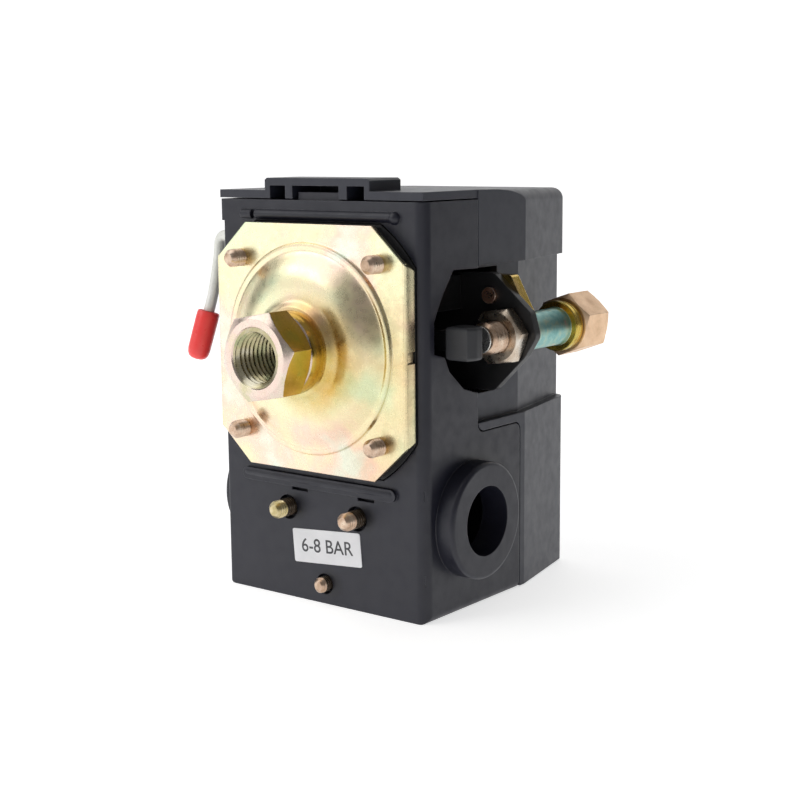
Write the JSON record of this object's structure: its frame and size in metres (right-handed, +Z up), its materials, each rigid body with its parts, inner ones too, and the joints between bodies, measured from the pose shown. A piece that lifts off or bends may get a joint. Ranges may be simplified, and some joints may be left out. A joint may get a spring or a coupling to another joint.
{
  "type": "pressure switch",
  "caption": "Air compressor pressure switch: stepped black housing with domed flange and hex port, hanging off-lever, unloader valve with compression fitting and side cable entries.",
  "frame": {"origin": "centre of the pressure port's mouth", "axes": "-Y out of the pressure port, +X towards the unloader valve, +Z up along the housing"},
  "size_m": [0.088, 0.0905, 0.1012],
  "materials": {
    "black_plastic": "satin",
    "brown_plastic": "satin",
    "white_plastic": "satin",
    "yellow_zinc": "satin",
    "bright_zinc": "satin",
    "copper_zinc": "satin",
    "blue_zinc": "satin",
    "spring_steel": "satin",
    "black_steel": "satin",
    "copper": "satin",
    "brass": "satin",
    "black_rubber": "matt",
    "red_vinyl": "gloss",
    "label_paper": "matt"
  },
  "bodies": {
    "housing": {"base_housing": "black_plastic", "label": "label_paper", "flange": "yellow_zinc", "port_nut": "yellow_zinc", "flange_screws": "copper_zinc", "diaphragm": "black_rubber", "frame": "black_steel", "pivot_pin": "spring_steel", "range_stud": "bright_zinc", "range_spring": "spring_steel", "range_cup": "bright_zinc", "differential_stud": "bright_zinc", "differential_spring": "spring_steel", "differential_washer": "bright_zinc", "contact_block": "brown_plastic", "terminals": "brass", "terminal_screws": "bright_zinc", "block_screws": "copper_zinc", "ground_strip": "brass", "ground_screws": "copper_zinc", "shield_plate": "black_steel", "unloader_bracket": "yellow_zinc", "bracket_rivet": "copper", "bracket_screw": "bright_zinc", "valve_body": "blue_zinc", "lock_nut": "bright_zinc", "valve_spring": "spring_steel", "ferrule": "brass"},
    "rocker": {"rocker": "black_steel", "arm_cap": "black_plastic"},
    "piston": {"piston": "white_plastic"},
    "carrier": {"contact_carrier": "white_plastic", "contact_bridges": "copper", "contact_springs": "spring_steel"},
    "valve_pin": {"valve_pin": "bright_zinc"},
    "cover": {"cover": "black_plastic"},
    "cover_nut": {"cover_nut": "bright_zinc"},
    "range_nut": {"range_nut": "bright_zinc"},
    "differential_nut": {"differential_nut": "brass"},
    "compression_nut": {"compression_nut": "brass"},
    "lever": {"lever_wire": "bright_zinc", "lever_cam": "bright_zinc", "lever_sleeve": "red_vinyl"}
  },
  "joints": [
    {"name": "rocker_pivot", "type": "hinge", "parent": "housing", "child": "rocker", "pos_m": [0, 0.033, 0.026], "axis": [1, 0, 0], "range_deg": [0, 3], "stiffness_Nm_per_rad": 2.2, "springref_deg": -6.88, "deforming": ["range_spring", "differential_spring"]},
    {"name": "piston_slide", "type": "slide", "parent": "housing", "child": "piston", "axis": [0, 1, 0], "range_m": [0, 0.0014]},
    {"name": "carrier_slide", "type": "slide", "parent": "housing", "child": "carrier", "axis": [0, 1, 0], "range_m": [0, 0.00276]},
    {"name": "valve_pin_slide", "type": "slide", "parent": "housing", "child": "valve_pin", "axis": [0, 1, 0], "range_m": [0, 0.00122], "deforming": ["valve_spring"]},
    {"name": "cover_slide", "type": "slide", "parent": "housing", "child": "cover", "axis": [0, 1, 0], "range_m": [0, 0.065]},
    {"name": "cover_nut_turn", "type": "hinge", "parent": "cover", "child": "cover_nut", "pos_m": [0, 0.0873, -0.016], "axis": [0, 1, 0], "continuous": true},
    {"name": "range_nut_turn", "type": "hinge", "parent": "housing", "child": "range_nut", "pos_m": [0, 0.062, -0.016], "axis": [0, 1, 0], "continuous": true},
    {"name": "differential_nut_turn", "type": "hinge", "parent": "housing", "child": "differential_nut", "pos_m": [0, 0.054, 0.012], "axis": [0, 1, 0], "continuous": true},
    {"name": "compression_nut_turn", "type": "hinge", "parent": "housing", "child": "compression_nut", "pos_m": [0.0365, 0.076, 0.003], "axis": [0, 1, 0], "continuous": true},
    {"name": "off_lever", "type": "hinge", "parent": "housing", "child": "lever", "pos_m": [0, 0.0281, 0.0249], "axis": [1, 0, 0], "range_deg": [0, 35]}
  ],
  "couplings": [
    {"joint": "piston_slide", "follows": "rocker_pivot", "m_per_rad": 0.026},
    {"joint": "carrier_slide", "follows": "rocker_pivot", "m_per_rad": 0.0524},
    {"joint": "valve_pin_slide", "follows": "rocker_pivot", "m_per_rad": 0.023}
  ]
}
